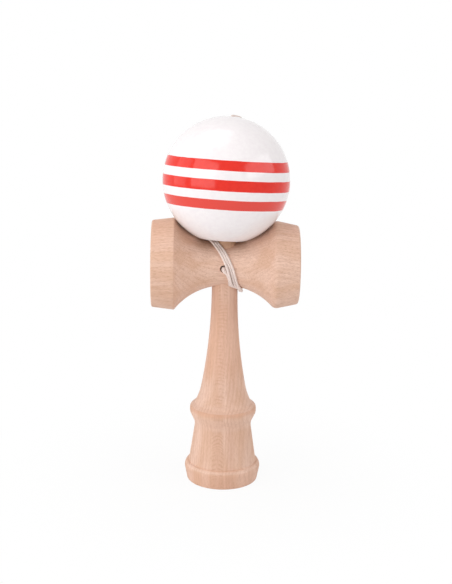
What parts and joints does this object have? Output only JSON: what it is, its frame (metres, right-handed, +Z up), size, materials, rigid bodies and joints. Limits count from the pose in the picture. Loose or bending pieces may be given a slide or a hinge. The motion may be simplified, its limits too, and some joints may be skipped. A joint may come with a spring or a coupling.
{
  "type": "cup and ball toy",
  "caption": "Turned wooden cup and ball toy: a spiked handle with a cup in its base, a crosspiece with a cup at each end, and a striped ball on a string that lifts off the spike and spins.",
  "frame": {"origin": "middle of the rim under the base, on the standing plane", "axes": "+Z up the handle to the spike, +X along the crosspiece to the small cup, string hole on -Y"},
  "size_m": [0.07, 0.0614, 0.1803],
  "materials": {
    "beech": "bare sanded beech, matte",
    "lacquer": "glossy white lacquer on wood, with red stripes",
    "bead_wood": "bare wood, matte",
    "cotton": "twisted off-white string"
  },
  "bodies": {
    "stand": {"handle": "beech", "crosspiece": "beech", "handle_knot": "cotton", "string_lead": "cotton", "string_winding": "cotton", "string_rise": "cotton"},
    "string_tip": {"bead": "bead_wood", "bead_knot": "cotton", "string_end": "cotton"},
    "ball": {"ball": "lacquer"}
  },
  "joints": [
    {"name": "ball_lift", "type": "slide", "parent": "stand", "child": "string_tip", "axis": [0, 0, 1], "range_m": [0, 0.06], "deforming": ["string_rise"]},
    {"name": "ball_spin", "type": "hinge", "parent": "string_tip", "child": "ball", "pos_m": [0, 0, 0.14925], "axis": [0.052, 0.1132, 0.9922], "continuous": true}
  ]
}
